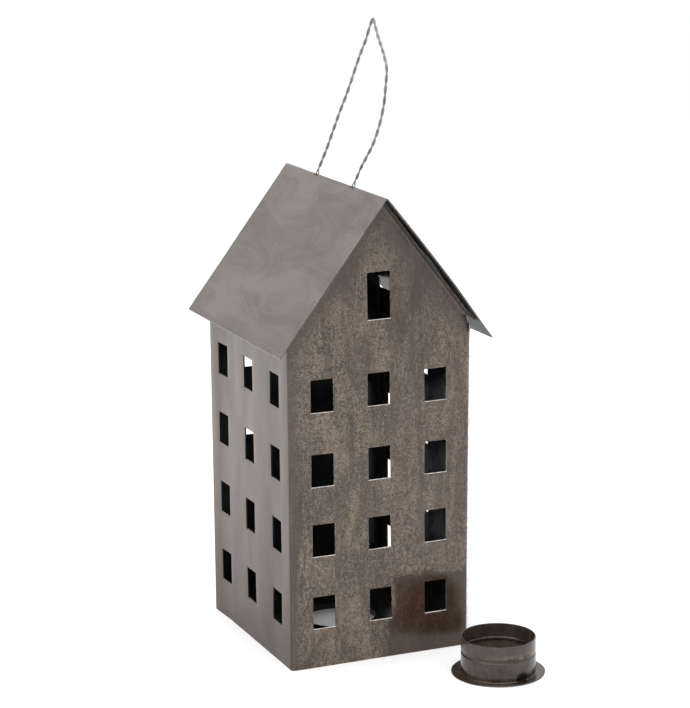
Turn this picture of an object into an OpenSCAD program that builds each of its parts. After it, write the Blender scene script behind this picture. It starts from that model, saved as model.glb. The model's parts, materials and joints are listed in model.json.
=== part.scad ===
// House-shaped sheet-metal lantern for a tea light, with a twisted wire handle
// and a loose candle cup. Millimetres, +Z up. The front gable faces -Y, the ridge
// runs along Y, and the origin is the middle of the base on the table.
// The walls are two folded sheets that lap at two corners, the roof is a third
// folded sheet, and the base is a pan with a collared hole for the cup.

/* [House] */
// Width across the gable, over the sheet
house_w = 105; // [85:0.5:130]
// Depth along the ridge, over the sheet
house_d = 117.5; // [95:0.5:145]
// Height at which the outer faces of the roof slopes meet
ridge_h = 256.4; // [210:0.2:310]
// Thickness of the walls, the roof and the base
sheet_t = 0.8; // [0.6:0.05:1]
// Outer radius of the folded wall corners
corner_r = 1.6; // [1.2:0.1:2.5]
// Width of the lapped tab inside each seam
seam_tab = 8; // [5:0.5:12]
// Gap between a wall's free edge and the fold that it meets
seam_gap = 0.3; // [0.2:0.05:0.6]

/* [Roof] */
// Pitch of the roof slopes, in degrees
roof_pitch = 52.4; // [43:0.2:58]
// Overhang of the eaves past the side walls
eave_over = 8.7; // [5:0.1:14]
// Gap between a side wall's top and the roof, straight up
side_gap = 5.5; // [2:0.1:9]
// Overhang of the roof past the front gable
front_over = 11.6; // [9:0.1:16]
// Overhang of the roof past the back gable
back_over = 10.6; // [9:0.1:16]
// Outer radius of the fold along the ridge
ridge_r = 1.2; // [1.1:0.1:2]
// Width of the flange bent out along each gable's sloping edges
flange_w = 5; // [3.5:0.1:7]
// Inner radius of the fold between a gable and its flange
flange_r = 1; // [0.6:0.1:1.5]

/* [Windows] */
// Width of the wall windows
win_w = 13.1; // [9:0.1:17]
// Height of the wall windows
win_h = 17.9; // [13:0.1:24]
// Distance from a gable wall's edge to the middle of its outer windows
gable_inset = 19.5; // [15:0.1:24]
// Distance from a side wall's edge to the middle of its outer windows
side_inset = 19.95; // [15:0.1:24]
// Height of the middle of the lowest windows
low_row_z = 31; // [24:0.5:40]
// Drop from a side wall's top to the middle of the highest windows
high_row_drop = 29.3; // [22:0.1:40]
// Width of the window under the ridge
attic_w = 13.2; // [9:0.1:17]
// Height of the window under the ridge
attic_h = 25.6; // [18:0.1:32]
// Drop from the ridge to the middle of the window under it
attic_drop = 54.2; // [46:0.2:64]

/* [Base] */
// Height of the base's underside above the table
base_lift = 3; // [2:0.1:6]
// Height of the flange bent up round the base
base_flange = 7; // [4:0.5:11]
// Gap between the cup and the edge of its hole, all round
cup_gap = 0.3; // [0.1:0.05:1]
// Height of the hole's drawn collar, from the base's underside
collar_h = 3.4; // [2:0.1:6]

/* [Cup] */
// Outside diameter of the candle cup
cup_d = 40.8; // [34:0.1:49]
// Height of the candle cup
cup_h = 20.4; // [16:0.2:26]
// Thickness of the cup's sheet
cup_t = 0.6; // [0.4:0.05:0.8]
// Height of the middle of the rolled groove
groove_z = 11.9; // [8:0.1:13]
// Radius of the rolled groove's section
groove_r = 1.1; // [0.8:0.1:1.4]
// Depth of the rolled groove
groove_depth = 0.5; // [0.3:0.05:0.6]
// Width of the foot ring, outside the cup's side
foot_w = 4.85; // [3:0.05:8]
// Where the cup stands, to the right of the middle of the house
cup_x = 48.5; // [0:0.5:80]
// Distance from the roof's front edge to the cup's foot ring
cup_clear = 8.9; // [5:0.1:40]
// Direction of the cup's seam, in degrees from +X
seam_dir = -94; // [-180:1:180]
// Width of the cup's seam
cup_seam_w = 0.5; // [0.3:0.05:1]

/* [Handle] */
// Diameter of the handle's wire
wire_d = 0.82; // [0.6:0.01:1]
// Gap between the two twisted strands
strand_gap = 0.05; // [0.03:0.01:0.1]
// Length of one full turn of the twist
twist_pitch = 11.4; // [8:0.1:16]
// Lean of the handle from upright, in degrees towards +X
handle_lean = 12; // [-40:1:40]
// Diameter of the holes in the ridge
ridge_hole_d = 2.5; // [2.3:0.1:3]
// Distance between the two holes of a pair
hole_pair = 3.1; // [2.9:0.1:4]
// Place of the front pair of holes along the ridge
front_foot_y = -25.5; // [-30:0.5:-20]
// Place of the back pair of holes along the ridge
back_foot_y = 24.8; // [20:0.5:30]
// Length of the wire's ends under the ridge
wire_end = 5; // [3:0.5:8]
// Gap between the wire under the ridge and the roof
pivot_gap = 0.06; // [0.04:0.01:0.1]

/* [Hidden] */
$fn = 96;

half_w = house_w / 2;
half_d = house_d / 2;
corner_in = corner_r - sheet_t;
far = 2 * (house_w + house_d + ridge_h);
arc_steps = 8;

// Outer face of the seam tab, one sheet inside the wall that laps over it
tab_x = half_w - sheet_t;
tab_z = base_lift + base_flange + 1;
tab_drop = 4;

// Where the undersides of the two slopes meet, the middle of the ridge's fold, and the
// height at which the underside starts to curve into it
under_z = ridge_h - sheet_t / cos(roof_pitch);
fold_z = ridge_h - ridge_r / cos(roof_pitch);
fold_in = ridge_r - sheet_t;
fold_low = fold_z + fold_in * cos(roof_pitch);
slope_len = (half_w + eave_over) / cos(roof_pitch);
wall_top = under_z - half_w * tan(roof_pitch) - side_gap;
tab_top = wall_top - tab_drop;

// Middles of the windows. The upper gable rows were cut a little low.
row_pitch = (wall_top - high_row_drop - low_row_z) / 3;
side_rows = [for (i = [0:3]) low_row_z + i * row_pitch];
gable_rows = side_rows - [0, 0, 1.7, 1.3];
gable_cols = (half_w - gable_inset) * [-1, 0, 1];
side_cols = (half_d - side_inset) * [-1, 0, 1];
attic_z = ridge_h - attic_drop;

solder_r = 1;
solder_len = 6;
seam_solder_r = 0.7;
base_corner = 4;

// The cup stands in front of the house. Its floor lies against the groove's underside.
cup_r = cup_d / 2;
cup_in = cup_r - cup_t;
cup_hole_d = cup_d + 2 * cup_gap;
foot_d = cup_d + 2 * foot_w;
cup_y = -half_d - front_over - cup_clear - foot_d / 2;
groove_half = sqrt(groove_r * groove_r - pow(groove_r - groove_depth, 2));
bulge_r = groove_r + cup_t;
bulge_half = sqrt(bulge_r * bulge_r - pow(groove_r - groove_depth + cup_t, 2));
floor_z = groove_z - bulge_half - cup_t;
cup_solder_r = 0.5;

// The handle turns about the wire that lies in the fold under the ridge.
wire_r = wire_d / 2;
pivot_z = under_z - (wire_r + pivot_gap) / cos(roof_pitch);
strand_off = wire_r + strand_gap / 2;
bend_r = 0.9;
hole_top = 1.8;
// Route of the twisted pair from the front foot to the back foot, as places along
// the ridge and heights above the pivot
handle_route = [
    [-26.2, 4], [-28, 7.2], [-30.7, 12.4], [-35.4, 19], [-40.2, 26.3], [-43.8, 37.5],
    [-44.4, 47.8], [-42.6, 56.5], [-39.8, 66], [-32.8, 73.4], [-21.4, 82], [-13, 89.2],
    [-11, 90.6], [-9.4, 88.9], [-6.6, 79], [-2.4, 69.8], [1.8, 57.6], [5.6, 47.4],
    [9.8, 38.4], [13.3, 29.4], [16, 22.3], [19.4, 14], [23, 6.8], [24.3, 4]
];
sub_steps = 8;
turn_rings = 8;
wire_sides = 6;
bend_rings = 4;

// Points along an arc, and a point of the roof's section: x down a slope from the
// ridge, z out from its underside
function arc(x, y, r, from, to) =
    [for (k = [0:arc_steps]) [x, y] + r * [cos(from + (to - from) * k / arc_steps),
                                           sin(from + (to - from) * k / arc_steps)]];
function on_section(side, x, z) =
    [side * (x * cos(roof_pitch) + z * sin(roof_pitch)),
     under_z - x * sin(roof_pitch) + z * cos(roof_pitch)];

// Length of each piece of a route, and the running length at each point
function steps_of(route) = [for (i = [1:len(route) - 1]) norm(route[i] - route[i - 1])];
function running(steps) =
    [for (i = 0, s = 0; i <= len(steps); s = s + (i < len(steps) ? steps[i] : 0), i = i + 1) s];
// Direction of a route at a point, and one smooth piece of the curve through the points
function lead(route, i) =
    let (a = route[max(i - 1, 0)], b = route[min(i + 1, len(route) - 1)])
    let (c = route[i])
    (b - a) / (norm(b - c) + norm(c - a));
function smooth_at(p, q, m, n, h, t) =
    p * (2 * t * t * t - 3 * t * t + 1) + m * h * (t * t * t - 2 * t * t + t)
    + q * (3 * t * t - 2 * t * t * t) + n * h * (t * t * t - t * t);
function smooth(route) = [
    for (i = [0:len(route) - 2])
        for (k = [0:sub_steps - 1])
            smooth_at(route[i], route[i + 1], lead(route, i), lead(route, i + 1),
                      norm(route[i + 1] - route[i]), k / sub_steps),
    route[len(route) - 1]
];

curve = smooth(handle_route);
curve_s = running(steps_of(curve));
curve_len = curve_s[len(curve_s) - 1];
table_y = [for (i = [0:len(curve) - 1]) [curve_s[i], curve[i][0]]];
table_z = [for (i = [0:len(curve) - 1]) [curve_s[i], curve[i][1]]];
turns = round(curve_len / twist_pitch);
ring_count = turns * turn_rings;
function on_curve(s) = [lookup(s, table_y), lookup(s, table_z)];

// One strand of the pair: side is -1 for the strand that starts at the outer front hole
function strand(side) = [
    for (k = [0:ring_count])
        let (s = curve_len * k / ring_count, p = on_curve(s))
        let (d = on_curve(min(s + 0.5, curve_len)) - on_curve(max(s - 0.5, 0)))
        let (t = d / norm(d), a = 360 * k / turn_rings)
        [0, p[0], p[1]] + side * strand_off * [sin(a), cos(a) * t[1], -cos(a) * t[0]]
];

// The wire from under the ridge up through a hole, coming from the side dir
function foot(y, dir) = [
    for (k = [0:bend_rings])
        let (a = 90 - 90 * k / bend_rings)
        [0, y + dir * bend_r * (1 - cos(a)), bend_r * (1 - sin(a))],
    [0, y, hole_top]
];
function reversed(list) = [for (i = [len(list) - 1:-1:0]) list[i]];

half_pair = hole_pair / 2;
// The whole wire: a bent end, one strand over to the back foot, the loop through the
// two holes there, the other strand back to the front foot, and the second bent end
wire_path = concat(
    [[0, front_foot_y - half_pair - wire_end, 0]],
    foot(front_foot_y - half_pair, -1),
    strand(-1),
    reversed(foot(back_foot_y + half_pair, -1)),
    foot(back_foot_y - half_pair, 1),
    reversed(strand(1)),
    reversed(foot(front_foot_y + half_pair, 1)),
    [[0, front_foot_y + half_pair + wire_end, 0]]
);

// A round bar swept along a path, without twist between its rings
function heading(path, i) =
    let (d = path[min(i + 1, len(path) - 1)] - path[max(i - 1, 0)])
    d / norm(d);
function square_to(v, t) = let (w = v - (v * t) * t) w / norm(w);
function side_vectors(path) = [
    for (i = 0, u = square_to([1, 0, 0], heading(path, 0)); i < len(path);
         i = i + 1, u = i < len(path) ? square_to(u, heading(path, i)) : u) u
];
module swept_wire(path, r, sides) {
    u = side_vectors(path);
    n = len(path);
    points = [
        for (i = [0:n - 1])
            let (v = cross(heading(path, i), u[i]))
            for (k = [0:sides - 1])
                path[i] + r * (cos(360 * k / sides) * u[i] + sin(360 * k / sides) * v)
    ];
    faces = concat(
        [[for (k = [0:sides - 1]) k]],
        [
            for (i = [0:n - 2])
                for (k = [0:sides - 1])
                    let (a = i * sides + k, b = i * sides + (k + 1) % sides)
                    each [[a, a + sides, b], [b, a + sides, b + sides]]
        ],
        [[for (k = [sides - 1:-1:0]) (n - 1) * sides + k]]
    );
    polyhedron(points = points, faces = faces);
}

// Extrudes a section drawn across the house, between two places along the ridge
module along_ridge(y_low, y_high) {
    translate([0, y_high, 0])
        rotate([90, 0, 0])
            linear_extrude(height = y_high - y_low)
                children();
}

// Places children on the underside of the right slope, x down the slope from the ridge
module on_slope() {
    translate([0, 0, under_z])
        rotate([0, roof_pitch, 0])
            children();
}

// Plan of the front-left wall sheet: the left wall, the gable and the seam tab
module wall_plan() {
    left_x = -half_w + corner_r;
    right_x = tab_x - corner_r;
    bend_y = -half_d + corner_r;
    polygon(concat(
        [[-half_w, half_d - corner_r - seam_gap]],
        arc(left_x, bend_y, corner_r, 180, 270),
        arc(right_x, bend_y, corner_r, 270, 360),
        [[tab_x, bend_y + seam_tab], [tab_x - sheet_t, bend_y + seam_tab]],
        arc(right_x, bend_y, corner_in, 360, 270),
        arc(left_x, bend_y, corner_in, 270, 180),
        [[-half_w + sheet_t, half_d - corner_r - seam_gap]]
    ));
}

// Everything above a line parallel to the slopes, drop below their undersides
module over_roof(drop) {
    reach = house_w;
    low = under_z - drop / cos(roof_pitch) - reach * tan(roof_pitch);
    top = under_z - drop / cos(roof_pitch);
    polygon([[-reach, low], [0, top], [reach, low], [reach, far], [-reach, far]]);
}

// One half of a gable's flange, bent out under the roof, with a leg down into the gable
module gable_flange() {
    len_x = (half_w - corner_r) / cos(roof_pitch);
    bend_y = -half_d - flange_r;
    bend_z = -sheet_t - flange_r;
    leg_z = bend_z - sheet_t;
    back_x = 2 * (sheet_t + flange_r);
    intersection() {
        on_slope()
            translate([-back_x, 0, 0])
                rotate([90, 0, 90])
                    linear_extrude(height = len_x + back_x)
                        polygon(concat(
                            [[-half_d - flange_w, -sheet_t], [-half_d - flange_w, 0]],
                            arc(bend_y, bend_z, flange_r + sheet_t, 90, 0),
                            [[-half_d + sheet_t, leg_z], [-half_d, leg_z]],
                            arc(bend_y, bend_z, flange_r, 0, 90)
                        ));
        translate([0, -far / 2, 0]) cube([far, far, fold_low]);
    }
}

// The wall sheet folded round the front-left corner. The other one is the same sheet
// turned half a turn.
module wall_sheet() {
    tab_y = -half_d + corner_r;
    difference() {
        union() {
            difference() {
                linear_extrude(height = ridge_h) wall_plan();
                along_ridge(-half_d - 1, half_d + 1) over_roof(0);
                along_ridge(-half_d - 1, -half_d + sheet_t) over_roof(sheet_t + flange_r);
                translate([tab_x - 2 * sheet_t, tab_y, -1])
                    cube([3 * sheet_t, seam_tab + 1, tab_z + 1]);
                translate([tab_x - 2 * sheet_t, tab_y, tab_top])
                    cube([3 * sheet_t, seam_tab + 1, ridge_h]);
                translate([-half_w - 1, tab_y, wall_top])
                    cube([sheet_t + 2, house_d, ridge_h]);
            }
            gable_flange();
            mirror([1, 0, 0]) gable_flange();
        }
        for (x = gable_cols, z = gable_rows)
            translate([x - win_w / 2, -half_d - 1, z - win_h / 2])
                cube([win_w, sheet_t + 2, win_h]);
        translate([-attic_w / 2, -half_d - 1, attic_z - attic_h / 2])
            cube([attic_w, sheet_t + 2, attic_h]);
        for (y = side_cols, z = side_rows)
            translate([-half_w - 1, y - win_w / 2, z - win_h / 2])
                cube([sheet_t + 2, win_w, win_h]);
    }
}

module front_left_wall() {
    color([0.43, 0.39, 0.35]) wall_sheet();
}

module back_right_wall() {
    color([0.52, 0.48, 0.46]) rotate([0, 0, 180]) wall_sheet();
}

// The roof: one sheet folded along the ridge, with two pairs of holes for the handle
module roof_sheet() {
    color([0.57, 0.53, 0.51])
        difference() {
            along_ridge(-half_d - front_over, half_d + back_over)
                polygon(concat(
                    [on_section(1, slope_len, 0), on_section(1, slope_len, sheet_t)],
                    arc(0, fold_z, ridge_r, 90 - roof_pitch, 90 + roof_pitch),
                    [on_section(-1, slope_len, sheet_t), on_section(-1, slope_len, 0)],
                    arc(0, fold_z, fold_in, 90 + roof_pitch, 90 - roof_pitch)
                ));
            for (y = [front_foot_y, back_foot_y], side = [-1, 1])
                translate([0, y + side * half_pair, under_z - 4 * ridge_hole_d])
                    cylinder(d = ridge_hole_d, h = 8 * ridge_hole_d);
        }
}

// The base: a pan with open corners and a collar drawn up round the cup's hole
module base_plate() {
    in_w = half_w - sheet_t;
    in_d = half_d - sheet_t;
    color([0.36, 0.33, 0.3])
        difference() {
            union() {
                translate([-in_w + base_corner, -in_d, base_lift])
                    cube([2 * (in_w - base_corner), 2 * in_d, sheet_t]);
                translate([-in_w, -in_d + base_corner, base_lift])
                    cube([2 * in_w, 2 * (in_d - base_corner), sheet_t]);
                for (s = [0, 1])
                    mirror([s, 0, 0])
                        translate([in_w - sheet_t, -in_d + base_corner, base_lift])
                            cube([sheet_t, 2 * (in_d - base_corner), base_flange]);
                for (s = [0, 1])
                    mirror([0, s, 0])
                        translate([-in_w + base_corner, in_d - sheet_t, base_lift])
                            cube([2 * (in_w - base_corner), sheet_t, base_flange]);
                translate([0, 0, base_lift])
                    cylinder(d = cup_hole_d + 2 * sheet_t, h = collar_h);
            }
            translate([0, 0, base_lift - 1]) cylinder(d = cup_hole_d, h = collar_h + 2);
        }
}

// A bead of solder filling a square corner: its two flat sides face -x and -y
module bead(r, length) {
    linear_extrude(height = length)
        intersection() {
            circle(r = r);
            square(r);
        }
}

// Solder down the inner edge of the lapped tab at the front-right corner
module seam_run() {
    translate([tab_x, -half_d + corner_r + seam_tab, tab_z + 2])
        rotate([0, 0, 90])
            bead(seam_solder_r, tab_top - tab_z - 4);
}

module seam_solder_front() {
    color([0.6, 0.6, 0.58]) seam_run();
}

module seam_solder_back() {
    color([0.6, 0.6, 0.58]) rotate([0, 0, 180]) seam_run();
}

// Solder between the edges of one gable's flanges and the roof
module roof_beads() {
    for (s = [0, 1], along = [0.3, 0.75])
        mirror([s, 0, 0])
            on_slope()
                translate([slope_len * along, -half_d - flange_w, 0])
                    rotate([0, 90, 0])
                        rotate([0, 0, -90])
                            bead(solder_r, solder_len);
}

module roof_solder_front() {
    color([0.6, 0.6, 0.58]) roof_beads();
}

module roof_solder_back() {
    color([0.6, 0.6, 0.58]) rotate([0, 0, 180]) roof_beads();
}

// Solder between the top of the base's flange and the walls, two beads to a side
module base_solder() {
    in_w = half_w - sheet_t;
    in_d = half_d - sheet_t;
    z = base_lift + base_flange;
    color([0.6, 0.6, 0.58]) {
        for (s = [0, 1], y = [-1, 1] * in_d / 2)
            mirror([s, 0, 0])
                translate([in_w, y + solder_len / 2, z])
                    rotate([90, 0, 0])
                        mirror([1, 0, 0]) bead(sheet_t, solder_len);
        for (s = [0, 1], x = [-1, 1] * in_w / 2)
            mirror([0, s, 0])
                translate([x - solder_len / 2, in_d, z])
                    rotate([90, 0, 90])
                        mirror([1, 0, 0]) bead(sheet_t, solder_len);
    }
}

// The handle: one wire doubled through the back holes and twisted
module handle_wire() {
    color([0.3, 0.28, 0.27])
        translate([0, 0, pivot_z])
            rotate([0, handle_lean, 0])
                swept_wire(wire_path, wire_r, wire_sides);
}

module at_cup() {
    translate([cup_x, cup_y, 0]) children();
}

// The gap in the sleeve where its strip of sheet was closed
module cup_seam_slot(height) {
    rotate([0, 0, seam_dir])
        translate([cup_in - cup_t, -cup_seam_w / 2, 0])
            cube([cup_t * 3, cup_seam_w, height]);
}

// The cup's side, with a groove rolled in from outside
module cup_sleeve() {
    groove_x = cup_r + groove_r - groove_depth;
    color([0.4, 0.36, 0.33])
        at_cup()
            difference() {
                rotate_extrude() {
                    difference() {
                        union() {
                            translate([cup_in, 0]) square([cup_t, cup_h]);
                            intersection() {
                                translate([groove_x, groove_z]) circle(r = bulge_r);
                                translate([cup_in - cup_t, 0]) square([cup_t * 2, cup_h]);
                            }
                        }
                        translate([groove_x, groove_z]) circle(r = groove_r);
                    }
                }
                difference() {
                    cup_seam_slot(cup_h + 1);
                    translate([0, 0, groove_z - 2 * groove_half])
                        cylinder(r = cup_r + 1, h = 4 * groove_half);
                }
            }
}

module cup_floor() {
    color([0.4, 0.36, 0.33])
        at_cup()
            translate([0, 0, floor_z])
                cylinder(r = cup_in, h = cup_t);
}

module cup_flange() {
    color([0.42, 0.37, 0.33])
        at_cup()
            difference() {
                cylinder(d = foot_d, h = cup_t);
                translate([0, 0, -1]) cylinder(r = cup_r, h = cup_t + 2);
            }
}

// Solder in the sleeve's seam, above and below the groove
module cup_seam_solder() {
    color([0.6, 0.6, 0.58])
        at_cup()
            intersection() {
                difference() {
                    cup_seam_slot(cup_h);
                    translate([0, 0, groove_z - 2 * groove_half])
                        cylinder(r = cup_r + 1, h = 4 * groove_half);
                }
                difference() {
                    cylinder(r = cup_r, h = cup_h);
                    translate([0, 0, -1]) cylinder(r = cup_in, h = cup_h + 2);
                }
            }
}

// Solder under the cup's floor
module cup_floor_solder() {
    color([0.6, 0.6, 0.58])
        at_cup()
            rotate_extrude()
                translate([cup_in, floor_z])
                    intersection() {
                        circle(r = cup_solder_r);
                        translate([-cup_solder_r, -cup_solder_r]) square(cup_solder_r);
                    }
}

// Solder between the sleeve and the top of the foot ring
module cup_foot_solder() {
    color([0.6, 0.6, 0.58])
        at_cup()
            rotate_extrude()
                translate([cup_r, cup_t])
                    intersection() {
                        circle(r = cup_solder_r);
                        square(cup_solder_r);
                    }
}

front_left_wall();
back_right_wall();
roof_sheet();
base_plate();
seam_solder_front();
seam_solder_back();
roof_solder_front();
roof_solder_back();
base_solder();
handle_wire();
cup_sleeve();
cup_floor();
cup_flange();
cup_seam_solder();
cup_floor_solder();
cup_foot_solder();
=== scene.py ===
"""House-shaped sheet-metal lantern with a twisted wire handle and a loose candle cup."""
import json
import math
import random

import bmesh
import bpy
from mathutils import Matrix, Vector, noise


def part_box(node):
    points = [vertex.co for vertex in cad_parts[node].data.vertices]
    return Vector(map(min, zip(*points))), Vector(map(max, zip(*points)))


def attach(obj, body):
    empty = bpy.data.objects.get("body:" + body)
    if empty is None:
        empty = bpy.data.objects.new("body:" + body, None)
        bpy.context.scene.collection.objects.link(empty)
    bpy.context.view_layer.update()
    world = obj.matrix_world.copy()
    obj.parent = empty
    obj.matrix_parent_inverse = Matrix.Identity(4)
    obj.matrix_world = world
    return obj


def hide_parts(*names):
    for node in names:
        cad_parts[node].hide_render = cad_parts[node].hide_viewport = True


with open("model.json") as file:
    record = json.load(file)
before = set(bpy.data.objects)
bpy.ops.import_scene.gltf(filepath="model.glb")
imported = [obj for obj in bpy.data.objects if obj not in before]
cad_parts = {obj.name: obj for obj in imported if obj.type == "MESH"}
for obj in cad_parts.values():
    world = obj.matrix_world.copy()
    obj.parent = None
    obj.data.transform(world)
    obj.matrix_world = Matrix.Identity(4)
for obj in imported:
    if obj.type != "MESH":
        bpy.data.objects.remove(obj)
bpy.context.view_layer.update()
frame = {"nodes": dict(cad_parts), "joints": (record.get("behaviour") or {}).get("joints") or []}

MM = 0.001

# --- Sizes, from the frame where it gives them ---
wall_low, wall_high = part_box("front_left_wall")
roof_low, roof_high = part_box("roof_sheet")
base_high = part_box("base_plate")[1]
sleeve_low, sleeve_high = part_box("cup_sleeve")
flange_low, flange_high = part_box("cup_flange")
floor_low, floor_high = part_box("cup_floor")

SHEET = 0.8 * MM
CORNER_R = 1.6 * MM
PITCH = math.radians(52.4)
COS, SIN, TAN = math.cos(PITCH), math.sin(PITCH), math.tan(PITCH)
GABLE_FLANGE = 5 * MM
FLANGE_R = 1.0 * MM
RIDGE_R = 1.2 * MM
HALF_W = -wall_low.x
HALF_D = -wall_low.y - GABLE_FLANGE
TAB_X = wall_high.x
TAB_LEN = 8 * MM
TAB_RISE = 1 * MM
TAB_DROP = 4 * MM
SIDE_GAP = 5.5 * MM
SEAM_GAP = 0.3 * MM
SLOPE_LEN = (roof_high.x - SHEET * SIN) / COS
UNDER_Z = roof_low.z + SLOPE_LEN * SIN
RIDGE_Z = UNDER_Z + SHEET / COS
FOLD_Z = RIDGE_Z - RIDGE_R / COS
CORNER_TOP = UNDER_Z - HALF_W * TAN
SIDE_TOP = CORNER_TOP - SIDE_GAP
TAB_Z = base_high.z + TAB_RISE
TAB_TOP = SIDE_TOP - TAB_DROP

WIN_W = 13.1 * MM
WIN_H = 17.9 * MM
ATTIC_W = 13.2 * MM
ATTIC_H = 25.6 * MM
LOW_ROW_Z = 31 * MM
HIGH_ROW_DROP = 29.3 * MM
GABLE_INSET = 19.5 * MM
SIDE_INSET = 19.95 * MM
ATTIC_DROP = 54.2 * MM
ROW_PITCH = (SIDE_TOP - HIGH_ROW_DROP - LOW_ROW_Z) / 3
SIDE_ROWS = [LOW_ROW_Z + row * ROW_PITCH for row in range(4)]
GABLE_DROPS = [drop * MM for drop in (0, 0, 1.7, 1.3)]
GABLE_ROWS = [z - drop for z, drop in zip(SIDE_ROWS, GABLE_DROPS)]
GABLE_COLS = [side * (HALF_W - GABLE_INSET) for side in (-1, 0, 1)]
SIDE_COLS = [side * (HALF_D - SIDE_INSET) for side in (-1, 0, 1)]
ATTIC_Z = RIDGE_Z - ATTIC_DROP

CUP_MID = Vector(((sleeve_low.x + sleeve_high.x) / 2, (sleeve_low.y + sleeve_high.y) / 2, 0))
CUP_R = (sleeve_high.x - sleeve_low.x) / 2
CUP_H = sleeve_high.z
CUP_T = 0.6 * MM
GROOVE_Z = 11.9 * MM
GROOVE_R = 1.1 * MM
GROOVE_DEPTH = 0.5 * MM
FOOT_R = (flange_high.x - flange_low.x) / 2
SEAM_DIR = math.radians(-94)

GRID_STEP = 4 * MM
# A sheet's materials: its outer face, cut edges, inner face, and one for chosen edges
OUTER, CUT, INNER, CHOSEN = range(4)


# --- Small helpers ---
def ease(low, high, x):
    """0 below low, 1 above high, smooth between them."""
    t = min(max((x - low) / (high - low), 0.0), 1.0)
    return t * t * (3 - 2 * t)


def grid_lines(stops, step):
    """Lines through every stop, with even steps of at most step between them."""
    stops = sorted(set(round(stop, 8) for stop in stops))
    lines = []
    for a, b in zip(stops, stops[1:]):
        parts = max(1, math.ceil((b - a) / step - 1e-6))
        lines += [a + (b - a) * k / parts for k in range(parts)]
    return lines + [stops[-1]]


def new_object(name, data):
    """An object in the scene that shows a mesh, light or camera."""
    made = bpy.data.objects.new(name, data)
    bpy.context.scene.collection.objects.link(made)
    return made


def take_mesh(name, bm):
    """A mesh made from a bmesh, which is freed."""
    mesh = bpy.data.meshes.new(name)
    bm.to_mesh(mesh)
    bm.free()
    return mesh


def shade_smooth(mesh):
    for face in mesh.polygons:
        face.use_smooth = True


def settle(piece):
    """Applies the piece's modifiers and shades it smooth up to 38 degrees."""
    graph = bpy.context.evaluated_depsgraph_get()
    mesh = bpy.data.meshes.new_from_object(piece.evaluated_get(graph))
    piece.modifiers.clear()
    piece.data = mesh
    shade_smooth(mesh)
    mesh.set_sharp_from_angle(angle=math.radians(38))


def use_materials(piece, *materials):
    """Gives the piece these materials and no others."""
    piece.data.materials.clear()
    for material in materials:
        piece.data.materials.append(material)


def new_piece(name, mesh, body, slot, replaced, *materials):
    """A piece that moves with a body, in place of the replaced CAD nodes."""
    piece = new_object(name, mesh)
    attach(piece, body)
    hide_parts(*replaced)
    use_materials(piece, *materials)
    return piece


def new_sheet(name, mesh, slot, node, *materials):
    """A sheet of the house, thickened behind its outer face."""
    piece = new_piece(name, mesh, "house", slot, [node], *materials)
    solidify = piece.modifiers.new("sheet", "SOLIDIFY")
    solidify.thickness = SHEET
    solidify.offset = -1
    solidify.use_even_offset = True
    solidify.material_offset_rim = CUT
    solidify.material_offset = INNER
    settle(piece)
    return piece


def add_bevel(piece, width, segments=2):
    """Rounds the piece's edges of more than 50 degrees."""
    bevel = piece.modifiers.new("edge", "BEVEL")
    bevel.width = width
    bevel.segments = segments
    bevel.limit_method = "ANGLE"
    bevel.angle_limit = math.radians(50)
    return bevel


# --- Materials ---
def with_alpha(color):
    """A colour's link as it is, or its red, green and blue with full opacity."""
    return color if isinstance(color, bpy.types.NodeSocket) else (*color, 1)


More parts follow.
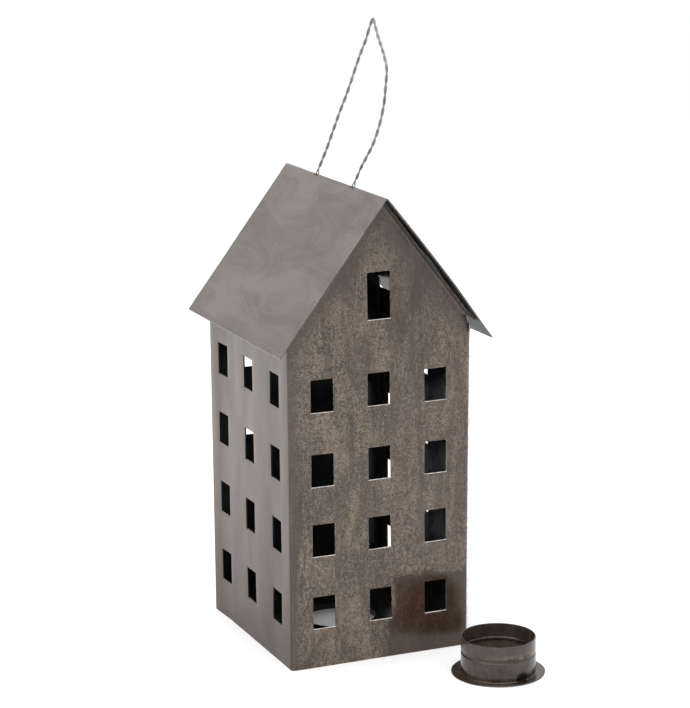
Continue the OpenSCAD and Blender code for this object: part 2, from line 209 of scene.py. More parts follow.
class Shader:
    """A material with a Principled shader and a short way to add nodes."""

    def __init__(self, name):
        self.material = bpy.data.materials.new(name)
        self.material.use_nodes = True
        self.tree = self.material.node_tree
        self.bsdf = self.tree.nodes["Principled BSDF"]
        self.place = self.add("TexCoord").outputs["Object"]

    def add(self, kind, inputs=None, **settings):
        """A node of a kind, with its settings, and links or values for its inputs."""
        node = self.tree.nodes.new("ShaderNode" + kind)
        for key, value in settings.items():
            setattr(node, key, value)
        for key, value in (inputs or {}).items():
            self.wire(node.inputs[key], value)
        return node

    def wire(self, socket, value):
        """Links a node's output to the socket, or sets a plain value."""
        if isinstance(value, bpy.types.NodeSocket):
            self.tree.links.new(value, socket)
        else:
            socket.default_value = value

    def math(self, operation, a, b=0.0):
        return self.add("Math", {0: a, 1: b}, operation=operation).outputs[0]

    def times(self, a, b):
        return self.math("MULTIPLY", a, b)

    def apart(self, value, middle):
        """How far a value is from the middle, to either side."""
        return self.math("ABSOLUTE", self.math("SUBTRACT", value, middle))

    def distance(self, place, point):
        inputs = {0: place, 1: point}
        return self.add("VectorMath", inputs, operation="DISTANCE").outputs["Value"]

    def axis(self, name):
        """The place's X, Y or Z."""
        return self.add("SeparateXYZ", {0: self.place}).outputs[name]

    def stretched(self, scale, turn=(0, 0, 0)):
        """The scaled and turned place; a pattern gets longer where the scale is small."""
        inputs = {"Vector": self.place, "Scale": scale, "Rotation": turn}
        return self.add("Mapping", inputs).outputs[0]

    def noise(self, scale, detail=4.0, rough=0.55, distort=0.0, where=None):
        inputs = {"Vector": self.place if where is None else where, "Scale": scale,
                  "Detail": detail, "Roughness": rough, "Distortion": distort}
        return self.add("TexNoise", inputs).outputs["Fac"]

    def cells(self, scale, where):
        """Distance to the edges of a net of uneven cells."""
        inputs = {"Vector": where, "Scale": scale}
        return self.add("TexVoronoi", inputs, feature="DISTANCE_TO_EDGE").outputs["Distance"]

    def band(self, value, low, high, to_low=0.0, to_high=1.0):
        """value from low..high to to_low..to_high, smooth and clamped."""
        inputs = {"Value": value, "From Min": low, "From Max": high, "To Min": to_low, "To Max": to_high}
        return self.add("MapRange", inputs, interpolation_type="SMOOTHSTEP").outputs["Result"]

    def contour(self, value, count, width):
        """Thin lines where value crosses count evenly spaced levels."""
        saw = self.math("PINGPONG", self.times(value, count), 0.5)
        return self.band(saw, 0.0, width, 1.0, 0.0)

    def mix(self, factor, a, b):
        """Colour a where the factor is 0, and b where it is 1."""
        inputs = {"Factor": factor, 6: with_alpha(a), 7: with_alpha(b)}
        return self.add("Mix", inputs, data_type="RGBA").outputs[2]

    def bump(self, height, distance, strength=1.0, below=None):
        """A relief of a height pattern, on top of the relief below."""
        inputs = {"Strength": strength, "Distance": distance, "Height": height}
        if below is not None:
            inputs["Normal"] = below
        return self.add("Bump", inputs).outputs[0]

    def finish(self, color, roughness, ior=1.5, metallic=0.0, normal=None):
        """The material with these inputs on its Principled shader."""
        self.wire(self.bsdf.inputs["Base Color"], with_alpha(color))
        self.wire(self.bsdf.inputs["Roughness"], roughness)
        self.wire(self.bsdf.inputs["IOR"], ior)
        self.bsdf.inputs["Metallic"].default_value = metallic
        if normal is not None:
            self.wire(self.bsdf.inputs["Normal"], normal)
        return self.material


LINE_BLACK = (0.018, 0.012, 0.008)
GRAIN_DARK = (0.040, 0.024, 0.015)
DRIP_X = 20 * MM
CRACK_X = -24 * MM
# Bounds of the dark patch at the seam's foot, which is patina and a painted reflection of the cup.
STAIN_AND_REFLECTION_X = 8 * MM
STAIN_AND_REFLECTION_TOP = 45 * MM


def gable_ground(sh, across, mottle, grain, speck):
    """Khaki patina, browner towards the seam, with purple patches and fine grain."""
    color = sh.mix(sh.band(mottle, 0.42, 0.60), (0.062, 0.038, 0.024), (0.152, 0.108, 0.074))
    brown = sh.noise(22, 4, 0.6, 0.4, sh.stretched((1, 1, 0.5)))
    to_seam = sh.band(across, 22 * MM, HALF_W, 0.0, 0.85)
    tint = sh.math("MAXIMUM", to_seam, sh.band(brown, 0.52, 0.66, 0.0, 0.5))
    color = sh.mix(tint, color, (0.140, 0.088, 0.058))
    purple = sh.noise(34, 5, 0.6, 0.8, sh.stretched((1, 1, 0.26)))
    color = sh.mix(sh.band(purple, 0.54, 0.62, 0.0, 0.50), color, (0.076, 0.053, 0.045))

    blots = sh.noise(230, 5, 0.7, 0.5, sh.stretched((1, 1, 0.6)))
    color = sh.mix(sh.band(grain, 0.48, 0.62, 0.0, 0.70), color, (0.190, 0.151, 0.114))
    color = sh.mix(sh.band(grain, 0.50, 0.38, 0.0, 0.80), color, GRAIN_DARK)
    color = sh.mix(sh.band(speck, 0.47, 0.36, 0.0, 0.90), color, GRAIN_DARK)
    color = sh.mix(sh.band(speck, 0.55, 0.66, 0.0, 0.40), color, (0.170, 0.135, 0.100))
    return sh.mix(sh.band(blots, 0.43, 0.35, 0.0, 0.60), color, (0.036, 0.024, 0.016))


def gable_lines(sh, across, height, color):
    """Dark runs and thin squiggly lines, strongest in the drips beside the attic window.
    Gives the colour with them, and the lines for the relief."""
    runs = sh.noise(60, 5, 0.6, 1.4, sh.stretched((1, 1, 0.20)))
    curls = sh.noise(130, 4, 0.6, 2.2, sh.stretched((1, 1, 0.45)))
    lined = sh.band(sh.noise(26, 3, 0.5, 0.5), 0.40, 0.56)
    drips = sh.times(sh.band(sh.apart(across, DRIP_X), 8 * MM, 17 * MM, 1.0, 0.0),
                     sh.band(height, SIDE_ROWS[3] + 5 * MM, SIDE_ROWS[3] + 20 * MM))
    thin = sh.times(sh.contour(curls, 2.0, 0.10), 0.8)
    lines = sh.math("MAXIMUM", sh.contour(runs, 3.0, 0.10), thin)
    lines = sh.times(lines, sh.math("MAXIMUM", lined, drips))
    color = sh.mix(sh.times(drips, 0.40), color, (0.044, 0.028, 0.017))
    dark_runs = sh.band(runs, 0.50, 0.40, 0.0, 0.85)
    dark_runs = sh.times(dark_runs, sh.math("MAXIMUM", drips, 0.60))
    color = sh.mix(dark_runs, color, (0.036, 0.023, 0.014))
    return sh.mix(sh.times(lines, 0.80), color, LINE_BLACK), lines


def gable_cracks(sh, across, height, speck, color):
    """A patchy net of fine cracks, fullest left of the attic window."""
    jitter = sh.times(sh.math("SUBTRACT", speck, 0.5), 0.25)
    net = sh.math("ADD", sh.cells(290, sh.stretched((1, 1, 0.8))), jitter)
    cracks = sh.band(net, 0.0, 0.08, 1.0, 0.0)
    cracked = sh.times(sh.band(sh.apart(across, CRACK_X), 12 * MM, 24 * MM, 1.0, 0.0),
                       sh.band(height, SIDE_ROWS[3] - 4 * MM, SIDE_ROWS[3] + 12 * MM))
    patchy = sh.band(sh.noise(60, 3, 0.5), 0.45, 0.58)
    cracked = sh.times(sh.math("MAXIMUM", cracked, 0.25), patchy)
    return sh.mix(sh.times(cracks, cracked), color, LINE_BLACK)


def gable_shadows(sh, across, height, stain_and_cup_reflection, color):
    """Painted shade under the roof and along the fold, and a dark patch at the foot of the seam: patina,
    and a painted reflection of the cup.
    """
    drop = sh.times(sh.math("SUBTRACT", UNDER_Z, height), COS)
    aside = sh.times(sh.math("ABSOLUTE", across), SIN)
    below_roof = sh.math("SUBTRACT", drop, aside)
    # Painted shade: darker below the roof's edge and along the fold into the side wall.
    roof_and_fold_shade = sh.math("MAXIMUM", sh.band(below_roof, 4 * MM, 17 * MM, 0.65, 0.0),
                     sh.band(across, 7 * MM - HALF_W, 1 * MM - HALF_W, 0.0, 0.65))
    color = sh.mix(roof_and_fold_shade, color, (0.050, 0.032, 0.022))

    # The dark patch at the foot of the seam: patina, and a painted reflection of the cup.
    wander = sh.times(sh.math("SUBTRACT", sh.noise(60, 6, 0.6), 0.5), 30 * MM)
    low_down = sh.band(sh.math("ADD", height, wander), STAIN_AND_REFLECTION_TOP + 1.5 * MM, STAIN_AND_REFLECTION_TOP - 1.5 * MM)
    to_seam = sh.band(sh.math("ADD", across, wander), STAIN_AND_REFLECTION_X - 2 * MM, STAIN_AND_REFLECTION_X + 2 * MM)
    stain_and_cup_reflection_patch = sh.times(low_down, to_seam)
    return sh.mix(sh.times(stain_and_cup_reflection_patch, stain_and_cup_reflection), color, (0.033, 0.016, 0.009))


def side_ground(sh, height, grain):
    """The side wall's brown patina, streaked upright, with painted shade towards the table."""
    streaks = sh.noise(48, 6, 0.65, 0.7, sh.stretched((1, 1, 0.16)))
    color = sh.mix(sh.band(streaks, 0.38, 0.62), (0.036, 0.019, 0.012), (0.084, 0.052, 0.037))
    color = sh.mix(sh.band(grain, 0.48, 0.36, 0.0, 0.45), color, (0.030, 0.017, 0.012))
    # Painted shade: darker towards the table.
    return sh.mix(sh.band(height, 60 * MM, 0, 0.0, 0.6), color, (0.036, 0.022, 0.016))


def wall_material(name, gable_side, stain_and_cup_reflection):
    """Mottled khaki-brown patina on a gable, with painted shade under the roof and along the fold;
    smoother and browner on the side wall, with painted shade towards the table. gable_side is -1
    where the gable faces -Y and +1 where it faces +Y. The last argument is the strength of the
    dark patch at the foot of the gable, beside its seam: patina, and a painted reflection of the cup."""
    sh = Shader(name)
    across = sh.times(sh.axis("X"), -gable_side)
    height = sh.axis("Z")
    grain = sh.noise(1300, 3, 0.6)
    speck = sh.noise(480, 5, 0.75)
    mottle = sh.noise(90, 6, 0.66, 0.8, sh.stretched((1, 1, 0.45)))
    color = gable_ground(sh, across, mottle, grain, speck)
    color, lines = gable_lines(sh, across, height, color)
    color = gable_cracks(sh, across, height, speck, color)
    color = gable_shadows(sh, across, height, stain_and_cup_reflection, color)

    reach = sh.times(sh.axis("Y"), gable_side)
    on_gable = sh.band(reach, HALF_D - 1.6 * MM, HALF_D - 0.4 * MM)
    color = sh.mix(on_gable, side_ground(sh, height, grain), color)
    rough = sh.band(mottle, 0.3, 0.7, 0.12, 0.22)
    low = sh.bump(sh.noise(28, 2, 0.4), 0.5 * MM, 0.4)
    relief = sh.math("ADD", grain, sh.times(lines, -0.5))
    fine = sh.bump(sh.times(relief, on_gable), 0.05 * MM, 0.6, low)
    side_ior = sh.band(height, 170 * MM, 0, 1.5, 1.26)
    ior = sh.math("MAXIMUM", sh.times(on_gable, 1.5), side_ior)
    return sh.finish(color, rough, ior=ior, normal=fine)


def roof_material(name, shade):
    """Smooth pinkish-grey patina with faint slanting streaks, lighter by shade; above 1 it makes a painted
    highlight.
    """
    sh = Shader(name)
    dark, light, cloudy = [[share * shade for share in color] for color in (
        (0.062, 0.043, 0.035), (0.118, 0.091, 0.078), (0.082, 0.074, 0.058))]
    slant = sh.stretched((1, 0.30, 1), (0.5, 0, 0.3))
    streaks = sh.noise(55, 6, 0.65, 1.0, slant)
    clouds = sh.noise(20, 4, 0.55, 0.6)
    grain = sh.noise(620, 4, 0.7)
    color = sh.mix(sh.band(streaks, 0.34, 0.66), dark, light)
    color = sh.mix(sh.band(clouds, 0.5, 0.66, 0.0, 0.55), color, cloudy)
    color = sh.mix(sh.band(grain, 0.48, 0.36, 0.0, 0.40), color, (0.045, 0.030, 0.024))
    rough = sh.band(streaks, 0.3, 0.7, 0.18, 0.30)
    low = sh.bump(sh.noise(22, 2, 0.4), 0.5 * MM, 0.4)
    fine = sh.bump(sh.noise(260, 4, 0.6), 0.03 * MM, 0.5, low)
    return sh.finish(color, rough, ior=1.6, normal=fine)


def cut_edge_material():
    """Bare metal of the windows' cut edges."""
    sh = Shader("cut_edge")
    wear = sh.noise(420, 4, 0.6)
    color = sh.mix(sh.band(wear, 0.35, 0.65), (0.55, 0.53, 0.52), (0.85, 0.83, 0.83))
    return sh.finish(color, sh.band(wear, 0.3, 0.7, 0.25, 0.45), metallic=1.0)


def dull_edge_material():
    """Patinated edge of the roof and of the gables' flanges."""
    sh = Shader("dull_edge")
    wear = sh.noise(380, 4, 0.6)
    color = sh.mix(sh.band(wear, 0.35, 0.65), (0.035, 0.031, 0.029), (0.075, 0.068, 0.064))
    return sh.finish(color, sh.band(wear, 0.3, 0.7, 0.3, 0.5), ior=1.5)


def inside_material(name, ior):
    """Sooty inner faces, which shine less with a lower ior."""
    sh = Shader(name)
    soot = sh.noise(60, 5, 0.6, 0.5)
    color = sh.mix(sh.band(soot, 0.35, 0.65), (0.010, 0.010, 0.010), (0.022, 0.021, 0.020))
    return sh.finish(color, sh.band(soot, 0.3, 0.7, 0.13, 0.22), ior=ior,
                     normal=sh.bump(sh.noise(160, 3, 0.5), 0.03 * MM, 0.3))


def wire_material():
    """Grimy dark wire."""
    sh = Shader("wire_dark")
    grime = sh.noise(320, 5, 0.6, 0.5)
    color = sh.mix(sh.band(grime, 0.35, 0.65), (0.045, 0.038, 0.033), (0.14, 0.125, 0.115))
    return sh.finish(color, sh.band(grime, 0.3, 0.7, 0.28, 0.5), ior=2.2,
                     normal=sh.bump(grime, 0.02 * MM, 0.6))


def cup_material(name):
    """Glossy dark brown patina with painted upright highlight streaks, rusty round the groove and scorched
    beside the seam.
    """
    sh = Shader(name)
    height = sh.axis("Z")
    mottle = sh.noise(190, 6, 0.68, 0.8)
    highlight_streaks = sh.noise(120, 4, 0.55, 0.3, sh.stretched((1, 1, 0.10)))
    grain = sh.noise(620, 4, 0.7)
    color = sh.mix(sh.band(mottle, 0.34, 0.66), (0.018, 0.010, 0.006), (0.056, 0.037, 0.026))
    # Painted highlights: faint lighter upright streaks.
    color = sh.mix(sh.band(highlight_streaks, 0.56, 0.70, 0.0, 0.55), color, (0.075, 0.058, 0.047))
    color = sh.mix(sh.band(grain, 0.55, 0.68, 0.0, 0.5), color, (0.085, 0.063, 0.048))
    color = sh.mix(sh.band(height, 12.5 * MM, 16 * MM, 0.0, 0.5), color, (0.050, 0.041, 0.034))

    outside = sh.band(sh.distance(sh.stretched((1, 1, 0)), CUP_MID),
                      CUP_R - 0.62 * MM, CUP_R - 0.45 * MM)
    to_groove = sh.band(sh.apart(height, GROOVE_Z + 1.4 * MM), 1.0 * MM, 3.0 * MM, 1.0, 0.0)
    rusty = sh.times(to_groove, sh.band(sh.noise(240, 5, 0.7, 0.8), 0.42, 0.60))
    rusty = sh.times(rusty, outside)
    to_right = sh.band(sh.axis("X"), CUP_MID.x - 14 * MM, CUP_MID.x + 4 * MM, 0.15, 0.75)
    color = sh.mix(sh.times(rusty, to_right), color, (0.165, 0.105, 0.073))
    in_groove = sh.band(sh.apart(height, GROOVE_Z), 0.5 * MM, 1.1 * MM, 0.9, 0.0)
    color = sh.mix(sh.times(in_groove, outside), color, (0.026, 0.009, 0.004))

    scorch_dir = SEAM_DIR + math.radians(17)
    scorch = CUP_MID + Vector((CUP_R * math.cos(scorch_dir), CUP_R * math.sin(scorch_dir), 2.5 * MM))
    uneven = sh.times(sh.noise(260, 4, 0.7), 9 * MM)
    spread = sh.math("ADD", sh.distance(sh.place, scorch), uneven)
    burnt = sh.band(spread, 6.5 * MM, 9.5 * MM, 0.9, 0.0)
    color = sh.mix(burnt, color, (0.004, 0.003, 0.003))
    rough = sh.band(mottle, 0.3, 0.7, 0.12, 0.26)
    ior = sh.math("SUBTRACT", 1.46, sh.times(burnt, 0.34))
    return sh.finish(color, rough, ior=ior, normal=sh.bump(mottle, 0.08 * MM, 0.6))


def solder_material():
    """Solder under the same dark patina as the sheets beside it."""
    sh = Shader("solder")
    lumps = sh.noise(500, 5, 0.6)
    color = sh.mix(sh.band(lumps, 0.35, 0.65), (0.022, 0.019, 0.017), (0.060, 0.054, 0.050))
    return sh.finish(color, sh.band(lumps, 0.3, 0.7, 0.3, 0.5), ior=1.5,
                     normal=sh.bump(lumps, 0.15 * MM, 0.8))


# The last number sets each gable's dark patch at the seam's foot: patina, and a painted reflection of the
# cup.
front_patina = wall_material("front_patina", -1, 0.82)
back_patina = wall_material("back_patina", 1, 0.4)
roof_patina = roof_material("roof_patina", 1.0)
# A lighter copy of the roof's patina: the painted highlight along the roof's bevelled rims.
roof_rim_highlight = roof_material("roof_rim_highlight", 1.9)
cut_edge = cut_edge_material()
dull_edge = dull_edge_material()
inside_dark = inside_material("inside_dark", 1.18)
roof_inside = inside_material("roof_inside", 1.09)
wire_dark = wire_material()
cup_patina = cup_material("cup_patina")
solder_grey = solder_material()


# --- Wall sheets ---
SIDE_RUN = 2 * HALF_D - 2 * CORNER_R - SEAM_GAP
FOLD_RUN = CORNER_R * math.pi / 2
GABLE_RUN = HALF_W + TAB_X - 2 * CORNER_R
GABLE_START = FOLD_RUN
GABLE_END = GABLE_START + GABLE_RUN
TAB_START = GABLE_END + FOLD_RUN
FLANGE_DROP = SHEET + FLANGE_R
FOLD_STEPS = 6
BEND_STEPS = 4
RISE_STEPS = 3
SHIFT_REACH = 6 * MM
DENT_REACH = 1.6 * MM
DENT = 0.10 * MM
SPREAD_LEN = 25 * MM
EAVE_FADE = 8 * MM
WIN_INSET = 8 * MM
FLANGE_MARGIN = 1.5 * MM
SILL_BEVEL = 0.5 * MM
WAVE_FADE = 12 * MM
WAVE_END_FADE = 10 * MM
FRONT_TAB_OUT = (0.6, 1.7)
BACK_TAB_OUT = (0.6, 0.7)
FRONT_EDGE_OUT = (0.85, 0.85)
BACK_EDGE_OUT = (0.75, 2.35)


def gable_s(x):
    """The running length along the sheet at a place across the gable."""
    return GABLE_START + x + HALF_W - CORNER_R


def side_s(y):
    """The running length along the sheet at a place along the side wall."""
    return -HALF_D + CORNER_R - y


def wall_plan(s):
    """Place on the sheet's outer face and outward direction in plan, at running length s."""
    if s <= 0:
        return Vector((-HALF_W, -HALF_D + CORNER_R - s, 0)), Vector((-1, 0, 0))
    if s < GABLE_START:
        a = s / CORNER_R
        out = Vector((-math.cos(a), -math.sin(a), 0))
        return Vector((-HALF_W + CORNER_R, -HALF_D + CORNER_R, 0)) + CORNER_R * out, out
    if s <= GABLE_END:
        return Vector((-HALF_W + CORNER_R + s - GABLE_START, -HALF_D, 0)), Vector((0, -1, 0))
    if s < TAB_START:
        a = (s - GABLE_END) / CORNER_R
        out = Vector((math.sin(a), -math.cos(a), 0))
        return Vector((TAB_X - CORNER_R, -HALF_D + CORNER_R, 0)) + CORNER_R * out, out
    return Vector((TAB_X, -HALF_D + CORNER_R + s - TAB_START, 0)), Vector((1, 0, 0))


def wall_windows(seed, side_shift, rises):
    """Each window as its middle, half sizes, and small hand-cut shift and turn.
    side_shift(column, row) is the shift of a side window away from the gable, and rises
    is how much higher each row of the gable sits."""
    rng = random.Random(seed)
    col_rise = (0.0, 0.55, -0.3)
    windows = []
    for col, x in enumerate(GABLE_COLS):
        for row, z in enumerate(GABLE_ROWS):
            rise = (col_rise[col] * (row / 3) + rises[row]) * MM
            windows.append((gable_s(x), z, WIN_W / 2, WIN_H / 2, rng.uniform(-0.25, 0.25) * MM,
                            rise + rng.uniform(-0.15, 0.15) * MM, rng.uniform(-0.6, 0.6)))
    windows.append((gable_s(0), ATTIC_Z, ATTIC_W / 2, ATTIC_H / 2, 0.0, 0.0, 0.5))
    for col, y in enumerate(SIDE_COLS):
        for row, z in enumerate(SIDE_ROWS):
            along = side_shift(col, row) + rng.uniform(-0.2, 0.2)
            windows.append((side_s(y), z, WIN_W / 2, WIN_H / 2, -along * MM,
                            rng.uniform(-0.2, 0.2) * MM, rng.uniform(-0.6, 0.6)))
    return windows


def in_wall(s, z, windows):
    """Whether the flat sheet has metal at s, z, below the gable's slopes."""
    for mid_s, mid_z, half_s, half_z, *_ in windows:
        if abs(s - mid_s) < half_s and abs(z - mid_z) < half_z:
            return False
    if s < 0:
        return z < SIDE_TOP
    if s > TAB_START:
        return TAB_Z < z < TAB_TOP
    if s < GABLE_START or s > GABLE_END:
        return z < CORNER_TOP
    return True


def slope_cut(s):
    """Height on the gable where the fold into the flange begins, at running length s."""
    x = s - gable_s(0)
    return UNDER_Z - FLANGE_DROP / COS - abs(x) * TAN


def shifted(s, z, windows):
    """The flat place after the windows' hand-cut shifts, and how close a cut edge is."""
    near = 0.0
    out_s, out_z = s, z
    for mid_s, mid_z, half_s, half_z, move_s, move_z, turn in windows:
        gap = max(abs(s - mid_s) - half_s, abs(z - mid_z) - half_z)
        if gap > SHIFT_REACH:
            continue
        share = 1 - ease(0, SHIFT_REACH, gap)
        a = math.radians(turn)
        out_s += share * (move_s - a * (z - mid_z))
        out_z += share * (move_z + a * (s - mid_s))
        near = max(near, 1 - ease(0, DENT_REACH, gap))
    return out_s, out_z, near


def sheet_wave(s, z, seed):
    """Slight unevenness of the flat parts, fading out at the folds."""
    if s <= 0:
        fade = ease(0, WAVE_FADE, -s) * ease(0, WAVE_END_FADE, s + SIDE_RUN)
    elif GABLE_START < s < GABLE_END:
        fade = ease(0, WAVE_FADE, s - GABLE_START) * ease(0, WAVE_FADE, GABLE_END - s)
        fade *= ease(0, WAVE_END_FADE, slope_cut(s) - z)
    else:
        return 0.0
    big = noise.noise(Vector((s * 22, z * 16, seed)))
    small = noise.noise(Vector((s * 60, z * 45, seed + 7)))
    return fade * (0.35 * big + 0.10 * small) * MM


def flange_profile():
    """Steps of the gable's flange from the wall's face: out along the roof, and up."""
    steps = []
    for k in range(1, BEND_STEPS + 1):
        a = math.pi / 2 * k / BEND_STEPS
        steps.append((FLANGE_R * (1 - math.cos(a)), FLANGE_R * math.sin(a)))
    for k in range(1, RISE_STEPS + 1):
        steps.append((FLANGE_R + (GABLE_FLANGE - FLANGE_R) * k / RISE_STEPS, FLANGE_R))
    return steps


def at_height(pair, z):
    """A value that goes from pair[0] at the table to pair[1] at the side wall's top."""
    return (pair[0] + (pair[1] - pair[0]) * min(z / SIDE_TOP, 1.0)) * MM


def seam_spread(s, z, tab_out, edge_out):
    """How far the lapped seam stands out below the roof: the tab, and the free edge."""
    if s > gable_s(0):
        share = ease(gable_s(GABLE_COLS[2]) + WIN_W / 2, GABLE_END, s)
        share *= ease(0, EAVE_FADE, slope_cut(min(s, GABLE_END)) - z)
        return at_height(tab_out, z) * share * (1 - ease(0, SPREAD_LEN, s - TAB_START))
    return -at_height(edge_out, z) * (1 - ease(0, SPREAD_LEN, s + SIDE_RUN))


def sheet_lines(windows):
    """Lines of the flat sheet's grid, along it and up it, through every cut and fold."""
    s_stops = [-SIDE_RUN, 0, GABLE_START, gable_s(0), GABLE_END, TAB_START, TAB_START + TAB_LEN]
    z_stops = [0, TAB_Z, TAB_TOP, SIDE_TOP, CORNER_TOP, slope_cut(GABLE_START), slope_cut(gable_s(0))]
    for mid_s, mid_z, half_s, half_z, *_ in windows:
        for edge in (-1, 1):
            s_stops += [mid_s + edge * half_s, mid_s + edge * (half_s + DENT_REACH)]
            z_stops += [mid_z + edge * half_z, mid_z + edge * (half_z + DENT_REACH)]
    for fold_start in (0, GABLE_END):
        s_stops += [fold_start + FOLD_RUN * k / FOLD_STEPS for k in range(1, FOLD_STEPS)]
    return grid_lines(s_stops, GRID_STEP), grid_lines(z_stops, GRID_STEP)


def flat_sheet(windows):
    """The sheet laid flat, with its windows, before the gable's slopes are cut."""
    s_lines, z_lines = sheet_lines(windows)
    bm = bmesh.new()
    corner = {}

    def vert(i, j):
        if (i, j) not in corner:
            corner[i, j] = bm.verts.new((s_lines[i], z_lines[j], 0))
        return corner[i, j]

    for i in range(len(s_lines) - 1):
        for j in range(len(z_lines) - 1):
            mid = ((s_lines[i] + s_lines[i + 1]) / 2, (z_lines[j] + z_lines[j + 1]) / 2)
            if in_wall(*mid, windows):
                bm.faces.new((vert(i, j), vert(i + 1, j), vert(i + 1, j + 1), vert(i, j + 1)))
    return bm


def cut_slopes(bm):
    """Cuts the flat gable off along its two slopes."""
    apex = Vector((gable_s(0), slope_cut(gable_s(0)), 0))
    for side in (-1, 1):
        faces = [f for f in bm.faces if GABLE_START < f.calc_center_median().x < GABLE_END
                 and (f.calc_center_median().x - apex.x) * side > 0]
        edges = dict.fromkeys(e for f in faces for e in f.edges)
        verts = dict.fromkeys(v for f in faces for v in f.verts)
        bmesh.ops.bisect_plane(bm, geom=faces + list(edges) + list(verts), dist=1e-7, plane_co=apex,
                               plane_no=Vector((side * SIN, COS, 0)),
                               clear_outer=True)
    bmesh.ops.remove_doubles(bm, verts=bm.verts, dist=1e-6)


def add_flanges(bm):
    """Extrudes the slopes' edges once for each step of the flange, and gives the step
    that each new corner belongs to."""
    slope_edges = [e for e in bm.edges if len(e.link_faces) == 1 and all(
        GABLE_START - 1e-6 < v.co.x < GABLE_END + 1e-6
        and abs(v.co.y - slope_cut(v.co.x)) < 2e-6 for v in e.verts)]
    steps = {}
    for step in flange_profile():
        made = bmesh.ops.extrude_edge_only(bm, edges=slope_edges)["geom"]
        fresh = {g for g in made if isinstance(g, bmesh.types.BMVert)}
        steps.update({v: step for v in fresh})
        slope_edges = [g for g in made if isinstance(g, bmesh.types.BMEdge)
                       and all(v in fresh for v in g.verts)]
    return steps


def flange_offset(step, s):
    """From the slope's edge to a step of the flange, at s along the gable."""
    forward, up = step
    x = s - gable_s(0)
    if abs(x) < 1e-6:
        rise = Vector((0, 0, up / COS))
    else:
        rise = up * Vector((math.copysign(SIN, x), 0, COS))
    return rise + Vector((0, -forward, 0))


def wall_mesh(name, seed, side_shift, rises, tab_out, edge_out):
    """The outer face of the front sheet: cut flat, then folded round its corners."""
    windows = wall_windows(seed, side_shift, rises)
    bm = flat_sheet(windows)
    cut_slopes(bm)
    steps = add_flanges(bm)
    for v in bm.verts:
        s, z = v.co.x, v.co.y
        moved_s, moved_z, near = shifted(s, z, windows)
        place, out = wall_plan(moved_s if GABLE_START < s < GABLE_END or s < 0 else s)
        lift = sheet_wave(s, z, seed) - DENT * near
        place = place + out * lift + Vector((seam_spread(s, z, tab_out, edge_out), 0, moved_z))
        if v in steps:
            place = place + flange_offset(steps[v], s)
        v.co = place
    bmesh.ops.recalc_face_normals(bm, faces=bm.faces)
    bm.normal_update()
    if sum((f.normal.x + f.normal.y) * f.calc_area() for f in bm.faces) > 0:
        bmesh.ops.reverse_faces(bm, faces=bm.faces)
    return take_mesh(name, bm)


def weigh_edges(mesh):
    """Gives the gable windows' cut edges their bevels, widest along the sills, and dulls
    the edges of the side windows and the flanges."""
    bm = bmesh.new()
    bm.from_mesh(mesh)
    weight = bm.edges.layers.float.new("bevel_weight_edge")
    for face in bm.faces:
        mid = face.calc_center_median()
        if face.material_index == CUT and abs(mid.y) > HALF_D + FLANGE_MARGIN:
            face.material_index = CHOSEN
        beside_window = abs(mid.x) > HALF_W - 2 * SHEET and abs(mid.y) < HALF_D - WIN_INSET
        if face.material_index == CUT and beside_window and mid.z > WIN_INSET:
            face.material_index = INNER
    for edge in bm.edges:
        kinds = {face.material_index for face in edge.link_faces}
        if CUT in kinds and len(kinds) > 1:
            rim = next(face for face in edge.link_faces if face.material_index == CUT)
            edge[weight] = 1.0 if rim.normal.z > 0.7 and OUTER in kinds else 0.15
    bm.to_mesh(mesh)
    bm.free()


def make_wall(name, seed, turn, patina, side_shift, rises, tab_out, edge_out):
    """One wall sheet with its cut edges, turned about +Z to its place."""
    mesh = wall_mesh(name, seed, side_shift, rises, tab_out, edge_out)
    mesh.transform(Matrix.Rotation(turn, 4, "Z"))
    piece = new_sheet(name + "_skin", mesh, "wall_patina", name,
                      patina, cut_edge, inside_dark, dull_edge)
    weigh_edges(piece.data)
    bevel = add_bevel(piece, SILL_BEVEL, 1)
    bevel.limit_method = "WEIGHT"
    bevel.material = CUT
    settle(piece)


def no_shift(col, row):
    return 0.0


def hidden_shift(col, row):
    """Shifts of the right wall's windows, which put the see-through spots in place."""
    return (-3.2 + 0.9 * row, 2.4, 1.0)[col]


make_wall("front_left_wall", 3, 0, front_patina, no_shift, (0, 0, 0, 0),
          FRONT_TAB_OUT, FRONT_EDGE_OUT)
make_wall("back_right_wall", 8, math.pi, back_patina, hidden_shift, (0, 1.4, 1.0, 0.5),
          BACK_TAB_OUT, BACK_EDGE_OUT)


# --- Roof sheet ---
RIDGE_RUN = RIDGE_R * PITCH
SLOPE_RUN = SLOPE_LEN - (RIDGE_R - SHEET) * TAN
SLOPE_BOW = 1.0 * MM
TACKS = [-0.635 * SLOPE_LEN, -0.787 * SLOPE_LEN]
TACK_H = 0.45 * MM
TACK_R = 0.9 * MM
TACK_STEP = 0.5 * MM
RIDGE_STEP = 0.2 * MM
RIM_BEVEL = 0.22 * MM
HOLE_R = 1.25 * MM
HALF_PAIR = 1.55 * MM
FRONT_FOOT_Y = -25.5 * MM
BACK_FOOT_Y = 24.8 * MM
FEET = [foot + side * HALF_PAIR for foot in (FRONT_FOOT_Y, BACK_FOOT_Y) for side in (-1, 1)]


def roof_section(s):
    """Place across the roof and outward direction, s from the ridge, right side positive."""
    side = 1 if s >= 0 else -1
    run = abs(s)
    a = min(run / RIDGE_R, PITCH)
    out = Vector((side * math.sin(a), 0, math.cos(a)))
    place = Vector((0, 0, FOLD_Z)) + RIDGE_R * out
    if run > RIDGE_RUN:
        place += (run - RIDGE_RUN) * Vector((side * COS, 0, -SIN))
    return place, out


